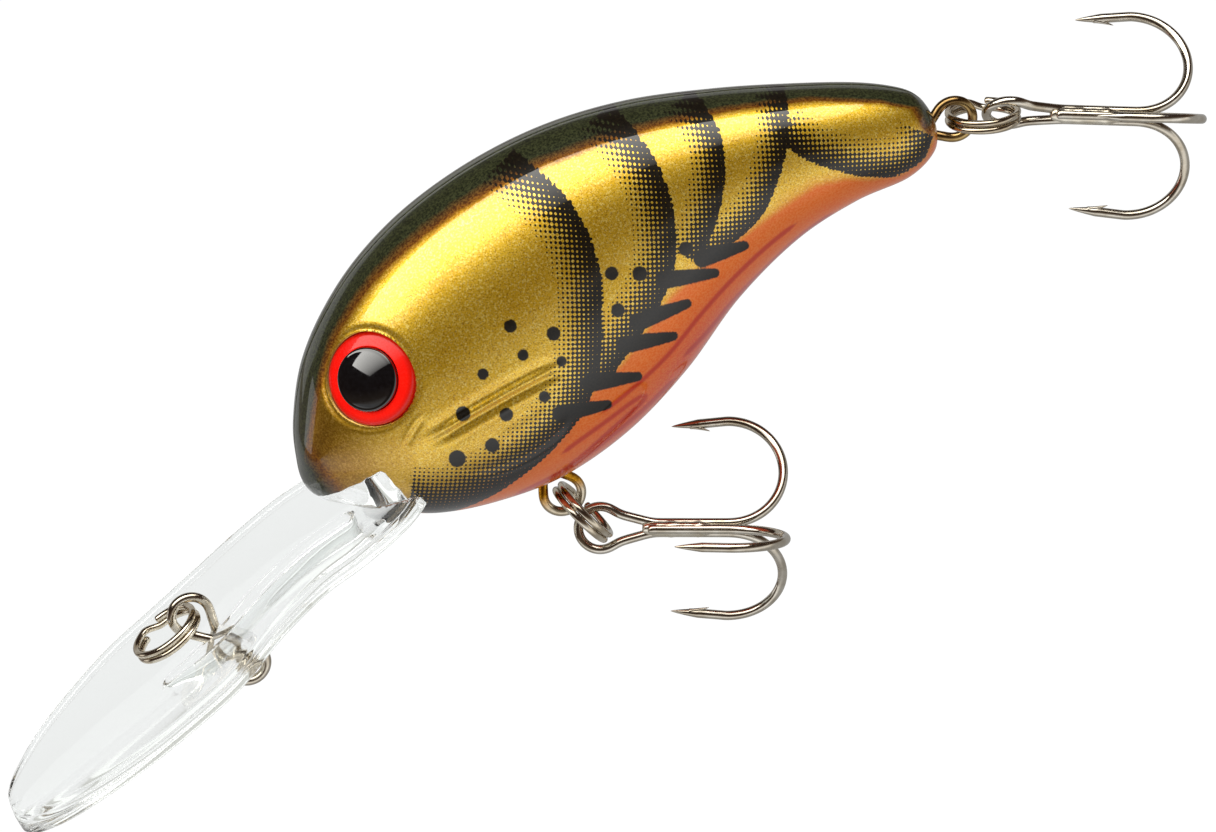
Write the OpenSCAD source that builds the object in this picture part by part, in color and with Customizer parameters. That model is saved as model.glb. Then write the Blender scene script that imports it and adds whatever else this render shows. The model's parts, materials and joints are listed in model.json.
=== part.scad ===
// Deep-diving crankbait lure, millimetres.
// Frame: origin at the centre of the line-tie eye, +X toward the tail, +Z toward the back, -Y is the lure's own left side.

/* [Body] */
// Moulded wall of the hollow body
wall = 1.4; // [1.0:0.1:2.0]
// Nose tip, measured from the line-tie eye
nose_x = 14.4; // [12:0.1:17]
nose_z = 6.4; // [5:0.1:8]
// Rings along the moulded skin
skin_rings = 56; // [30:1:90]
// Sides of each skin ring
skin_sides = 40; // [24:2:60]

/* [Diving lip] */
// Thickness of the clear plate
lip_thickness = 2.0; // [1.5:0.1:2.6]
// How far the plate's edges rise above its middle
lip_dish = 1.0; // [0:0.1:2]
// Clearance between the plate and the slot in the chin
slot_gap = 0.1; // [0.05:0.05:0.2]

/* [Wires] */
// Wire of the line tie and the hangers
hanger_wire = 0.85; // [0.7:0.05:1.1]
// Centreline radius of their eyes
hanger_eye = 1.72; // [1.5:0.02:2]
// Outside diameter of a split ring
ring_od = 6.7; // [6:0.1:8]
// Wire of a split ring's coil
ring_wire = 0.65; // [0.5:0.05:0.8]
// How far a ring's coil sits past the middle of a hanger eye
ring_lead = 0.4; // [0.2:0.05:0.5]

/* [Treble hooks] */
hook_wire = 0.85; // [0.7:0.05:1.0]
// Centreline radius of the hook's eye
hook_eye = 1.98; // [1.8:0.02:2.2]
// From the middle of the eye to the start of the bend
hook_shank = 11.4; // [10:0.1:14]
// Centreline radius of the round bend
hook_bend = 4.8; // [3.5:0.05:5]
// Length of the straight leg up to the point
hook_point = 5.1; // [5:0.1:7]
// Length of the ground point
point_taper = 2.4; // [1.5:0.1:3]
// Distance from the hook's axis to each of its three wires
wire_cluster = 0.5; // [0.5:0.01:0.6]
// Roll of the hooks about their own shanks
belly_roll = -12; // [-60:1:60]
tail_roll = -18; // [-60:1:60]
// Turn of the tail hook's eye about its shank
tail_eye_turn = 57; // [-60:1:60]
// Fall of the shanks below the body line
belly_fall = 28; // [0:1:60]
tail_fall = 31; // [0:1:60]
// Lean of the hooks toward the left side, about their eyes
belly_lean = 11; // [0:1:15]
tail_lean = 7; // [0:1:15]

/* [Eyes] */
eye_d = 8.1; // [7:0.1:9]
pupil_d = 5.6; // [4:0.1:6.5]

/* [Weight and rattles] */
ballast_d = 6.6; // [5:0.1:7]
rattle_d = 4.4; // [3.5:0.1:5]

/* [Hidden] */
$fn = 48;

// Body sections from the nose tip back: distance, top, bottom, half-width
body_sections = [
  [0.0, -0.8, -0.8, 0.0], [0.6, 1.6, -2.6, 2.3], [2.0, 4.6, -4.0, 4.2], [5.0, 8.7, -6.5, 6.2],
  [9.0, 12.0, -9.2, 7.8], [14.0, 14.7, -11.0, 8.9], [20.0, 16.5, -12.0, 9.5], [27.0, 17.2, -11.3, 9.4],
  [34.0, 16.7, -9.0, 8.8], [41.0, 14.9, -5.6, 7.7], [48.0, 11.9, -3.6, 6.2], [54.0, 8.8, -3.3, 5.0],
  [59.0, 5.9, -3.9, 4.1], [62.0, 3.6, -3.1, 3.0], [63.2, 2.0, -1.5, 1.7], [63.5, 0.2, 0.2, 0.0]];

// Lip sections from the tang forward: distance from the nose, height of the top face, half-width
lip_sections = [
  [8.6, -4.5, 5.0], [7.0, -4.7, 7.5], [4.5, -4.9, 9.4], [1.0, -5.2, 10.6], [-3.0, -5.6, 11.0], [-8.0, -6.9, 11.7],
  [-13.0, -8.7, 12.8], [-18.0, -9.9, 12.8], [-23.0, -10.9, 12.4], [-28.0, -11.9, 10.9], [-32.0, -12.7, 8.9],
  [-35.0, -13.3, 6.1], [-36.2, -13.5, 3.9], [-36.6, -13.6, 1.8]];

// Points in the middle plane, as [x, z] from the line-tie eye
anchor_eye = [2.1, -6.7];
belly_eye = [33.5, -7.6];
belly_inner_eye = [33.2, -0.9];
tail_eye = [79.4, 4.9];
tail_inner_eye = [72.9, 5.6];
// Ring directions, degrees below +X
line_ring_turn = 172;
belly_ring_turn = 74;
tail_ring_turn = 25;

// Smooth curve through hand-set sections
function pad(s) = concat([[s[1][0], for (i = [1:len(s[0]) - 1]) 2 * s[0][i] - s[1][i]]], s,
                         [[s[len(s) - 2][0], for (i = [1:len(s[0]) - 1]) 2 * s[len(s) - 1][i] - s[len(s) - 2][i]]]);
function blend(a, b, c, d, t) = 0.5 * (2 * b + (c - a) * t + (2 * a - 5 * b + 4 * c - d) * t * t + (3 * b - a - 3 * c + d) * t * t * t);
function along(s, u) = let (p = pad(s), i = min(floor(u), len(s) - 2), t = u - i) blend(p[i], p[i + 1], p[i + 2], p[i + 3], t);

// A closed skin over a list of rings with the same number of points
module skin(rings) {
  n = len(rings[0]);
  m = len(rings);
  polyhedron(points = [for (r = rings) each r],
    faces = concat([[for (i = [0:n - 1]) i]], [[for (i = [0:n - 1]) n * m - 1 - i]],
      [for (k = [0:m - 2]) for (i = [0:n - 1]) each [
        [k * n + i, (k + 1) * n + i, k * n + (i + 1) % n],
        [k * n + (i + 1) % n, (k + 1) * n + i, (k + 1) * n + (i + 1) % n]]]),
    convexity = 6);
}

module body_form(inset = 0, rings = skin_rings, sides = skin_sides) {
  last = len(body_sections) - 1;
  translate([nose_x, 0, nose_z])
  skin([for (k = [0:rings]) let (
      u = 0.25 + (last - 0.5) * k / rings,
      s = along(body_sections, u),
      x = 31.75 + (s[0] - 31.75) * (1 - 2 * inset / 63.5),
      a = max((s[1] - s[2]) / 2 - inset, 0.1), b = max(s[3] - inset, 0.1), c = (s[1] + s[2]) / 2)
    [for (i = [0:sides - 1]) [x, b * cos(360 * i / sides), c + a * sin(360 * i / sides)]]]);
}

module lip_plate(grow = 0, rings = 34, sides = 28) {
  last = len(lip_sections) - 1;
  translate([nose_x, 0, nose_z])
  skin([for (k = [rings:-1:0]) let (u = last * k / rings, s = along(lip_sections, u), w = s[2] + grow,
      x = s[0] + (k == 0 ? grow : 0))
    [for (i = [0:sides - 1]) let (q = 360 * i / sides, cy = cos(q), cz = sin(q),
        y = w * sign(cy) * pow(abs(cy), 0.85),
        t = lip_thickness / 2 * (1 - 0.2 * pow(y / 13.5, 2)) + grow)
      [x, y, s[1] - lip_thickness / 2 + lip_dish * pow(y / 13, 2) + t * sign(cz) * pow(abs(cz), 0.4)]]]);
}

// A sideways bar through a point of the middle plane, from y0 to y1
module bar(p, d, y0, y1) {
  translate([p[0], y1, p[1]]) rotate([90, 0, 0]) cylinder(d = d, h = y1 - y0);
}

// Local XY drawn in the middle plane: x to X, y to Z
module upright() { rotate([90, 0, 0]) children(); }

module arc(r, wire, a0, a1) {
  rotate([0, 0, a0]) rotate_extrude(angle = a1 - a0) translate([r, 0]) circle(d = wire);
}

module rod(p, q, d) {
  v = q - p;
  translate(p) rotate([0, acos(v[2] / norm(v)), atan2(v[1], v[0])]) cylinder(d = d, h = norm(v));
}

// Points of a figure eight round two eyes a distance d apart, its two straight runs passing side by side
function eight_path(d, r, side) = let (b = asin(2 * r / d), n = 14, m = 7) concat(
  [for (i = [0:n]) let (q = 90 - b + (180 + 2 * b) * i / n) [r * cos(q), r * sin(q), 0]],
  [for (i = [1:m - 1]) let (t = i / m) [r * sin(b) + (d - 2 * r * sin(b)) * t, -r * cos(b) * (1 - 2 * t), side * sin(180 * t)]],
  [for (i = [0:n]) let (q = 90 + b - (180 + 2 * b) * i / n) [d + r * cos(q), r * sin(q), 0]],
  [for (i = [1:m - 1]) let (t = 1 - i / m) [r * sin(b) + (d - 2 * r * sin(b)) * t, r * cos(b) * (1 - 2 * t), -side * sin(180 * t)]]);

// A wire of round section along a closed path
module closed_wire(path, wire, sides = 10) {
  n = len(path);
  polyhedron(points = [for (i = [0:n - 1]) let (
        t = path[(i + 1) % n] - path[(i + n - 1) % n], u = t / norm(t),
        across = cross([0, 0, 1], u), a = across / norm(across), up = cross(u, a))
      for (k = [0:sides - 1]) path[i] + wire / 2 * (cos(360 * k / sides) * a + sin(360 * k / sides) * up)],
    faces = [for (i = [0:n - 1]) for (k = [0:sides - 1]) let (j = (i + 1) % n, l = (k + 1) % sides)
      each [[i * sides + k, j * sides + k, i * sides + l], [i * sides + l, j * sides + k, j * sides + l]]],
    convexity = 6);
}

// One wire bent into a figure eight between two eye centres in the middle plane
module figure_eight(p, q, r, wire) {
  upright() translate([p[0], p[1], 0]) rotate([0, 0, atan2(q[1] - p[1], q[0] - p[0])])
    closed_wire(eight_path(norm(q - p), r, 0.56 * wire), wire * 1.02);
}

// A split ring of two stacked coils, lying in its own XY plane and centred
module split_ring() {
  r = (ring_od - ring_wire) / 2;
  s = ring_wire / 2 + 0.01;
  turn = 18;
  for (k = [-1, 1]) translate([0, 0, k * s]) {
    arc(r, ring_wire, turn, 360 - turn);
    rotate([0, 0, k * turn]) translate([r, 0, 0]) sphere(d = 1.06 * ring_wire);
  }
  rod([r * cos(turn), r * sin(turn), s], [r * cos(turn), -r * sin(turn), -s], ring_wire);
}

// A ring threaded through an eye at p, hanging at an angle below +X, its flat holding the Y direction
module hung_ring(p, turn, gap = 90) {
  r = (ring_od - ring_wire) / 2;
  translate([p[0], 0, p[1]]) rotate([0, turn, 0]) translate([r - ring_lead, 0, 0]) rotate([0, 0, gap]) split_ring();
}

// One hook of a treble: shank along +X, bend and point rising toward +Z
module one_hook(start) {
  translate([0, 0, wire_cluster]) {
    translate([start, 0, 0]) rotate([0, 90, 0]) cylinder(d = hook_wire, h = hook_shank - start);
    translate([hook_shank, 0, hook_bend]) upright() arc(hook_bend, hook_wire, -90, 90);
    straight = hook_point - point_taper;
    translate([hook_shank, 0, 2 * hook_bend]) rotate([0, -96, 0]) {
      sphere(d = 1.04 * hook_wire);
      cylinder(d = hook_wire, h = straight);
      translate([0, 0, straight]) cylinder(d1 = hook_wire, d2 = 0.08, h = point_taper);
      // barb on the inner side, its free end toward the bend
      translate([-0.05, 0, straight + 0.8]) rotate([0, -155, 0]) cylinder(d1 = 0.5, d2 = 0.06, h = 1.7);
    }
  }
}

// Places a treble with its eye centre at p, shank falling below +X, rolled about the shank
module placed_hook(p, fall, lean, roll) {
  translate([p[0], 0, p[1]]) rotate([0, fall, 0]) rotate([0, 0, -lean]) rotate([roll, 0, 0]) children();
}

// Eye and two of the three hooks, one wire
module treble_pair(eye_turn = 0) {
  a = 40;
  for (k = [-1, 1]) {
    p = turned([hook_eye * cos(a), 0, k * hook_eye * sin(a)], eye_turn);
    q = [3.4, wire_cluster / 2, k * wire_cluster * 0.866];
    rod(p, q, hook_wire);
    translate(p) sphere(d = 1.05 * hook_wire);
    translate(q) sphere(d = 1.1 * hook_wire);
    rotate([90 + k * 120, 0, 0]) one_hook(3.4);
  }
  rotate([eye_turn, 0, 0]) upright() arc(hook_eye, hook_wire, a, 360 - a);
}

function turned(p, t) = [p[0], p[1] * cos(t) - p[2] * sin(t), p[1] * sin(t) + p[2] * cos(t)];

module treble_single() { rotate([90, 0, 0]) one_hook(4.4); }

module treble_braze() { translate([4.2, 0, 0]) rotate([0, 90, 0]) cylinder(r = wire_cluster + 0.1, h = 5.6); }

// Hook eye centre at the far end of a hung ring
function ring_end(p, turn) = let (l = ring_od - ring_wire - ring_lead - 0.75) [p[0] + l * cos(turn), p[1] - l * sin(turn)];

// ---- the moulded body ----

peg_points = [[38.4, 19.6], [62.0, 13.4], [21.0, 13.6]];
rattle_front = [45.4, 5.6];
rattle_rear = [56.0, 10.6];
ballast_at = [28.0, 2.6];

// A drafted boss from the seam out to the wall
module boss(p, d, side, root = 0) {
  hull() {
    bar(p, d, side > 0 ? root : -10, side > 0 ? 10 : -root);
    bar(p, d + 0.3, side > 0 ? 5 : -10, side > 0 ? 10 : -5);
  }
}

// A peg with a lead-in, standing across the seam
module peg(p, d, reach) {
  hull() {
    bar(p, d, -1, reach - 0.4);
    bar(p, d - 0.6, -1, reach);
  }
}

// Room for a figure-eight wire where it enters between the shells
module wire_room(outer, inner) {
  hull() for (t = [0, 0.75]) bar(outer + t * (inner - outer), hanger_wire + 1.6, -1.05, 1.05);
  bar(inner, 2 * hanger_eye + hanger_wire + 0.5, -0.6, 0.6);
  bar(outer, 2 * hanger_eye + hanger_wire + 0.6, -0.65, 0.65);
}

// side -1 is the left half, with the pegs; 1 is the right half, with the sockets
module shell(side) {
  $fn = 28;
  difference() {
    intersection() {
      body_form();
      translate([0, side > 0 ? 0 : -20, -30]) cube([100, 20, 60]);
    }
    difference() {
      body_form(wall, 36, 24);
      // bosses and cups left standing inside the hollow
      for (p = peg_points) boss(p, 4.4, side);
      for (p = [belly_inner_eye, tail_inner_eye]) boss(p, 6.2, side);
      boss(ballast_at, 9, side);
      for (p = [rattle_front, rattle_rear]) boss(p, rattle_d + 3, side);
      for (k = [-1, 1]) if (k == side) eye_place(k) hull() {
        translate([0, 0, -3.4]) cylinder(d = eye_d + 2.4, h = 3);
        translate([0, 0, -4.2]) cylinder(d = eye_d, h = 1);
      }
      lip_room();
    }
    bar(ballast_at, ballast_d + 0.3, -ballast_d / 2 - 0.2, ballast_d / 2 + 0.2);
    bar(rattle_front, rattle_d + 0.8, -6.6, 6.6);
    bar(rattle_rear, rattle_d + 0.8, -5.2, 5.2);
    wire_room(belly_eye, belly_inner_eye);
    wire_room(tail_eye, tail_inner_eye);
    if (side > 0) for (p = concat(peg_points, [belly_inner_eye, tail_inner_eye])) bar(p, 2.2, -1, 2.4);
    lip_plate(slot_gap);
    translate([nose_x, 0, nose_z]) { lip_key(slot_gap); root_wedge(slot_gap); }
    eye_place(side) eye_socket();
  }
  if (side < 0) {
    for (p = peg_points) peg(p, 2, 2);
    for (p = [belly_inner_eye, tail_inner_eye]) peg(p, 2, 2);
  }
}

// Ledges beside the tang
module lip_room() {
  translate([nose_x, 0, nose_z]) hull() {
    translate([6, -9, -8.4]) cube([4.5, 18, 5.6]);
    translate([2, -6, -6.4]) cube([2, 12, 2]);
  }
}

// ---- the clear lip ----

// Side outline of the clear block that fills the front of the chin
root_outline = [[-3, -2.4], [6.7, -0.4], [8.3, -12], [-3, -12]];

module root_wedge(grow = 0) {
  rotate([90, 0, 0]) linear_extrude(height = 30, center = true) offset(delta = grow) polygon(root_outline);
}

// The lip's root, shaped as the chin it completes
module lip_root() {
  intersection() {
    body_form(0.02, 40, 32);
    translate([nose_x, 0, nose_z]) root_wedge();
  }
}

module lip_key(grow = 0) {
  hull() {
    translate([5.2, 0, -3.4]) rotate([90, 0, 0]) cylinder(d = 2.4 + 2 * grow, h = 2.4 + 2 * grow, center = true);
    translate([7.4, 0, -3.6]) rotate([90, 0, 0]) cylinder(d = 2 + 2 * grow, h = 2.4 + 2 * grow, center = true);
    translate([6.6, 0, -5.4]) rotate([90, 0, 0]) cylinder(d = 3.4 + 2 * grow, h = 2.4 + 2 * grow, center = true);
  }
}

// The keel under the plate, from the chin forward past the line-tie wire
keel = [[1.6, -6.9, 3.2], [-1.5, -7.2, 3.2], [-4.5, -7.9, 3.2], [-7.5, -8.8, 3.2], [-10.2, -10.0, 3.2], [-13.2, -11.0, 3.0], [-16, -11.6, 2.6], [-18.8, -11.9, 1.8]];

module lip_keel() {
  for (i = [0:len(keel) - 2]) hull() for (p = [keel[i], keel[i + 1]])
    translate([p[0], 0, p[1]]) rotate([90, 0, 0]) cylinder(d = p[2], h = 2.6, center = true, $fn = 20);
}

// ---- the eyes ----

eye_centre = [23.9, 6.62, 13.9];
eye_lean = 61;
eye_yaw = 244;

// The eye's own axis, pointing out of the body
module eye_place(side) {
  mirror([0, side > 0 ? 1 : 0, 0]) translate([eye_centre[0], -eye_centre[1], eye_centre[2]])
    rotate([0, 0, eye_yaw]) rotate([0, eye_lean, 0]) children();
}

module eye_socket() {
  difference() {
    translate([0, 0, -2]) cylinder(d = eye_d + 0.2, h = 5);
    translate([0, 0, -10.8]) sphere(r = 9.9, $fn = 48);
  }
}

module eye_iris() {
  difference() {
    intersection() {
      translate([0, 0, -2]) cylinder(d = eye_d, h = 4);
      translate([0, 0, -10.8]) sphere(r = 10.9);
    }
    translate([0, 0, -10.8]) sphere(r = 10);
    translate([0, 0, -3]) cylinder(d = pupil_d + 0.1, h = 6);
  }
}

module eye_pupil() {
  difference() {
    intersection() {
      translate([0, 0, -2]) cylinder(d = pupil_d, h = 4);
      translate([0, 0, -5.6]) sphere(r = 6.4);
    }
    translate([0, 0, -10.8]) sphere(r = 10);
  }
}

// ---- every piece in its place ----

module left_shell() { color([0.80, 0.62, 0.25]) shell(-1); }
module right_shell() { color([0.80, 0.62, 0.25]) shell(1); }
module diving_lip() {
  color([0.85, 0.9, 0.9, 0.5]) {
    lip_plate();
    lip_root();
    translate([nose_x, 0, nose_z]) lip_keel();
    translate([nose_x, 0, nose_z]) lip_key();
  }
}
module line_tie_wire() { color([0.75, 0.72, 0.66]) figure_eight([0, 0], anchor_eye, hanger_eye, hanger_wire); }
module belly_hanger() { color([0.78, 0.66, 0.4]) figure_eight(belly_eye, belly_inner_eye, hanger_eye, hanger_wire); }
module tail_hanger() { color([0.78, 0.66, 0.4]) figure_eight(tail_eye, tail_inner_eye, hanger_eye, hanger_wire); }
module left_eye_iris() { color([0.9, 0.12, 0.05]) eye_place(-1) eye_iris(); }
module right_eye_iris() { color([0.9, 0.12, 0.05]) eye_place(1) eye_iris(); }
module left_eye_pupil() { color([0.05, 0.05, 0.06]) eye_place(-1) eye_pupil(); }
module right_eye_pupil() { color([0.05, 0.05, 0.06]) eye_place(1) eye_pupil(); }
module ballast_ball() { color([0.5, 0.5, 0.52]) translate([ballast_at[0], 0, ballast_at[1]]) sphere(d = ballast_d); }
module rattle_ball_front() { color([0.7, 0.7, 0.72]) translate([rattle_front[0], 0, rattle_front[1]]) sphere(d = rattle_d); }
module rattle_ball_rear() { color([0.7, 0.7, 0.72]) translate([rattle_rear[0], 0, rattle_rear[1]]) sphere(d = rattle_d); }
module line_tie_ring() { color([0.7, 0.66, 0.58]) hung_ring([0, 0], line_ring_turn, 70); }
module belly_ring() { color([0.7, 0.66, 0.58]) hung_ring(belly_eye, belly_ring_turn, 90); }
module tail_ring() { color([0.7, 0.66, 0.58]) hung_ring(tail_eye, tail_ring_turn, 90); }
module belly_hook_double() { color([0.68, 0.64, 0.56]) placed_hook(ring_end(belly_eye, belly_ring_turn), belly_fall, belly_lean, belly_roll) treble_pair(); }
module belly_hook_single() { color([0.68, 0.64, 0.56]) placed_hook(ring_end(belly_eye, belly_ring_turn), belly_fall, belly_lean, belly_roll) treble_single(); }
module belly_hook_braze() { color([0.8, 0.76, 0.66]) placed_hook(ring_end(belly_eye, belly_ring_turn), belly_fall, belly_lean, belly_roll) treble_braze(); }
module tail_hook_double() { color([0.68, 0.64, 0.56]) placed_hook(ring_end(tail_eye, tail_ring_turn), tail_fall, tail_lean, tail_roll) treble_pair(tail_eye_turn); }
module tail_hook_single() { color([0.68, 0.64, 0.56]) placed_hook(ring_end(tail_eye, tail_ring_turn), tail_fall, tail_lean, tail_roll) treble_single(); }
module tail_hook_braze() { color([0.8, 0.76, 0.66]) placed_hook(ring_end(tail_eye, tail_ring_turn), tail_fall, tail_lean, tail_roll) treble_braze(); }

left_shell();
right_shell();
diving_lip();
line_tie_wire();
belly_hanger();
tail_hanger();
left_eye_iris();
right_eye_iris();
left_eye_pupil();
right_eye_pupil();
ballast_ball();
rattle_ball_front();
rattle_ball_rear();
line_tie_ring();
belly_ring();
tail_ring();
belly_hook_double();
belly_hook_single();
belly_hook_braze();
tail_hook_double();
tail_hook_single();
tail_hook_braze();
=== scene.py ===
"""Looks for the deep-diving crankbait: painted shells, clear lip, eyes, wires, rings and trebles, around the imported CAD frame."""
import bpy, bmesh, json, math
import numpy as np
from mathutils import Vector, Matrix

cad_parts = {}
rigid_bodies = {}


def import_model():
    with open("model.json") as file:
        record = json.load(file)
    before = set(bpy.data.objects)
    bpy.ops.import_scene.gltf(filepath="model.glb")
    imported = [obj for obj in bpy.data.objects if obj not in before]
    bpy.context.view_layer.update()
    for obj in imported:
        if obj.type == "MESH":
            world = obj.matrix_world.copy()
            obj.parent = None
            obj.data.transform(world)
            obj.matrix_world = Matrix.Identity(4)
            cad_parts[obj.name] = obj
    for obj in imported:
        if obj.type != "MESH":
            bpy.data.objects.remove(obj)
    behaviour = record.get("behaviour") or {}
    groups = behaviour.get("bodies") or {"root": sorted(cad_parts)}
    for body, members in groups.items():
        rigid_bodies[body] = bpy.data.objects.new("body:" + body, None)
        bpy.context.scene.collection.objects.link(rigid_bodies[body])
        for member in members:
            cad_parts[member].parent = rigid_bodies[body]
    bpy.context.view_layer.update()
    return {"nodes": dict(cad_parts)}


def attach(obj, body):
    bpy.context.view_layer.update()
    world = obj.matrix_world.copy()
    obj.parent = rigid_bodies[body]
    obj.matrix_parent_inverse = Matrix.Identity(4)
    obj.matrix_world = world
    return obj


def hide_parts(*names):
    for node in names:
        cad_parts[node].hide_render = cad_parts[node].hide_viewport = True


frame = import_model()
scene = bpy.context.scene
MM = 0.001
NOSE = np.array([14.4, 0.0, 6.4])
ELEV = math.radians(24)
SE, CE = math.sin(ELEV), math.cos(ELEV)

# ------------------------------------------------------------------ helpers

def put(name, verts, faces, body, material, slot, smooth=True, replaces=()):
    me = bpy.data.meshes.new(name)
    v = np.asarray(verts, float) * MM
    me.from_pydata(v.tolist(), [], [tuple(int(i) for i in f) for f in faces])
    me.validate()
    me.update()
    ob = bpy.data.objects.new(name, me)
    scene.collection.objects.link(ob)
    if smooth:
        me.polygons.foreach_set("use_smooth", [True] * len(me.polygons))
    for m in (material if isinstance(material, (list, tuple)) else [material]):
        me.materials.append(m)
    if body:
        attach(ob, body)
    if replaces:
        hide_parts(*replaces)
    return ob


def catmull(points, n, closed=False):
    p = np.asarray(points, float)
    m = len(p)
    out = []
    segs = m if closed else m - 1
    for i in range(segs):
        a, b, c, d = (p[(i + k) % m] if closed else p[min(max(i + k, 0), m - 1)] for k in (-1, 0, 1, 2))
        if not closed:
            if i == 0:
                a = 2 * p[0] - p[1]
            if i == segs - 1:
                d = 2 * p[-1] - p[-2]
        for t in np.linspace(0, 1, n, endpoint=False):
            out.append(0.5 * (2 * b + (c - a) * t + (2 * a - 5 * b + 4 * c - d) * t * t + (3 * b - a - 3 * c + d) * t ** 3))
    if not closed:
        out.append(p[-1])
    return np.array(out)


def resample(path, step, closed=False):
    p = np.asarray(path, float)
    if closed:
        p = np.vstack([p, p[:1]])
    d = np.r_[0, np.cumsum(np.linalg.norm(np.diff(p, axis=0), axis=1))]
    n = max(4, int(round(d[-1] / step)))
    t = np.linspace(0, d[-1], n + 1)
    q = np.stack([np.interp(t, d, p[:, k]) for k in range(p.shape[1])], 1)
    return q[:-1] if closed else q


def soften(path, rounds, closed=False):
    p = np.asarray(path, float).copy()
    for _ in range(rounds):
        if closed:
            p = (np.roll(p, 1, 0) + 2 * p + np.roll(p, -1, 0)) / 4
        else:
            p[1:-1] = (p[:-2] + 2 * p[1:-1] + p[2:]) / 4
    return p


def sweep(path, radius, sides=20, closed=False, up=(0, 1, 0), squash=1.0, cap_round=True):
    """A tube of varying radius along a path, with a frame carried along it so that it never twists. squash flattens it along the carried normal."""
    p = np.asarray(path, float)
    n = len(p)
    r = np.full(n, float(radius)) if np.isscalar(radius) else np.asarray(radius, float)
    if closed:
        t = np.roll(p, -1, 0) - np.roll(p, 1, 0)
    else:
        t = np.gradient(p, axis=0)
    t /= np.linalg.norm(t, axis=1)[:, None]
    a = np.zeros_like(p)
    v = np.array(up, float)
    v = v - t[0] * (v @ t[0])
    if np.linalg.norm(v) < 1e-6:
        v = np.cross(t[0], [1, 0, 0.3])
    for i in range(n):
        v = v - t[i] * (v @ t[i])
        v /= np.linalg.norm(v)
        a[i] = v
    b = np.cross(t, a)
    if closed:
        # turn the frame a little at each step so that its end meets its start
        end = a[-1] - t[0] * (a[-1] @ t[0])
        end /= np.linalg.norm(end)
        off = math.atan2(np.dot(end, b[0]), np.dot(end, a[0]))
        k = -off * np.arange(n) / n
        a, b = a * np.cos(k)[:, None] + b * np.sin(k)[:, None], b * np.cos(k)[:, None] - a * np.sin(k)[:, None]
    q = np.linspace(0, 2 * np.pi, sides, endpoint=False)
    ring = lambda i, rr: p[i] + rr * (squash * np.cos(q)[:, None] * a[i] + np.sin(q)[:, None] * b[i])
    verts, faces = [], []
    rings = []
    if not closed and cap_round and r[0] > 0.1:
        for s in (80, 55, 30):
            c = math.radians(s)
            rings.append(p[0] - t[0] * r[0] * 0.6 * math.sin(c) + (ring(0, r[0] * math.cos(c)) - p[0]))
    for i in range(n):
        rings.append(ring(i, r[i]))
    if not closed and cap_round and r[-1] > 0.1:
        for s in (30, 55, 80):
            c = math.radians(s)
            rings.append(p[-1] + t[-1] * r[-1] * 0.6 * math.sin(c) + (ring(n - 1, r[-1] * math.cos(c)) - p[-1]))
    verts = np.vstack(rings)
    m = len(rings)
    for i in range(m if closed else m - 1):
        j = (i + 1) % m
        for k in range(sides):
            l = (k + 1) % sides
            faces.append((i * sides + k, i * sides + l, j * sides + l, j * sides + k))
    if not closed:
        faces.append(tuple(range(sides - 1, -1, -1)))
        faces.append(tuple((m - 1) * sides + k for k in range(sides)))
    return verts, faces


def join(*parts):
    vs, fs, o = [], [], 0
    for v, f in parts:
        v = np.asarray(v, float)
        vs.append(v)
        fs += [tuple(i + o for i in face) for face in f]
        o += len(v)
    return np.vstack(vs), fs


def boolean(ob, other, how):
    m = ob.modifiers.new("cut", "BOOLEAN")
    m.operation = how
    m.object = other
    try:
        m.solver = "MANIFOLD"
    except TypeError:
        m.solver = "EXACT"
    dg = bpy.context.evaluated_depsgraph_get()
    me = bpy.data.meshes.new_from_object(ob.evaluated_get(dg))
    if len(me.polygons) == 0:
        bpy.data.meshes.remove(me)
        m.solver = "EXACT"
        dg = bpy.context.evaluated_depsgraph_get()
        me = bpy.data.meshes.new_from_object(ob.evaluated_get(dg))
    ob.modifiers.remove(m)
    ob.data = me
    return ob


def loose(name, verts, faces):
    me = bpy.data.meshes.new(name)
    me.from_pydata((np.asarray(verts, float) * MM).tolist(), [], [tuple(int(i) for i in f) for f in faces])
    me.update()
    ob = bpy.data.objects.new(name, me)
    scene.collection.objects.link(ob)
    bm = bmesh.new()
    bm.from_mesh(me)
    bmesh.ops.recalc_face_normals(bm, faces=bm.faces)
    bm.to_mesh(me)
    bm.free()
    return ob


def drop(ob):
    me = ob.data
    bpy.data.objects.remove(ob)
    if me.users == 0:
        bpy.data.meshes.remove(me)


def smooth_all(ob):
    ob.data.polygons.foreach_set("use_smooth", [True] * len(ob.data.polygons))
    ob.data.update()


def poly_distance(points, line):
    """Distance from each 2-D point to a polyline, which side of it the point is on, and how far along it the nearest place is (0 to 1)."""
    best = np.full(len(points), 1e9)
    side = np.zeros(len(points))
    where = np.zeros(len(points))
    lens = np.linalg.norm(np.diff(line, axis=0), axis=1)
    total = lens.sum()
    run = 0.0
    for a, b, l in zip(line[:-1], line[1:], lens):
        d = b - a
        w = points - a
        t = np.clip((w @ d) / (d @ d), 0, 1)
        e = w - t[:, None] * d
        dist = np.hypot(e[:, 0], e[:, 1])
        cr = d[0] * w[:, 1] - d[1] * w[:, 0]
        near = dist < best - 1e-9
        best[near] = dist[near]
        side[near] = np.sign(cr[near])
        where[near] = (run + t[near] * l) / total
        run += l
    return best, side, where


def smoothstep(x, lo, hi):
    t = np.clip((x - lo) / (hi - lo), 0, 1)
    return t * t * (3 - 2 * t)


# ------------------------------------------------------------------ node materials

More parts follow.
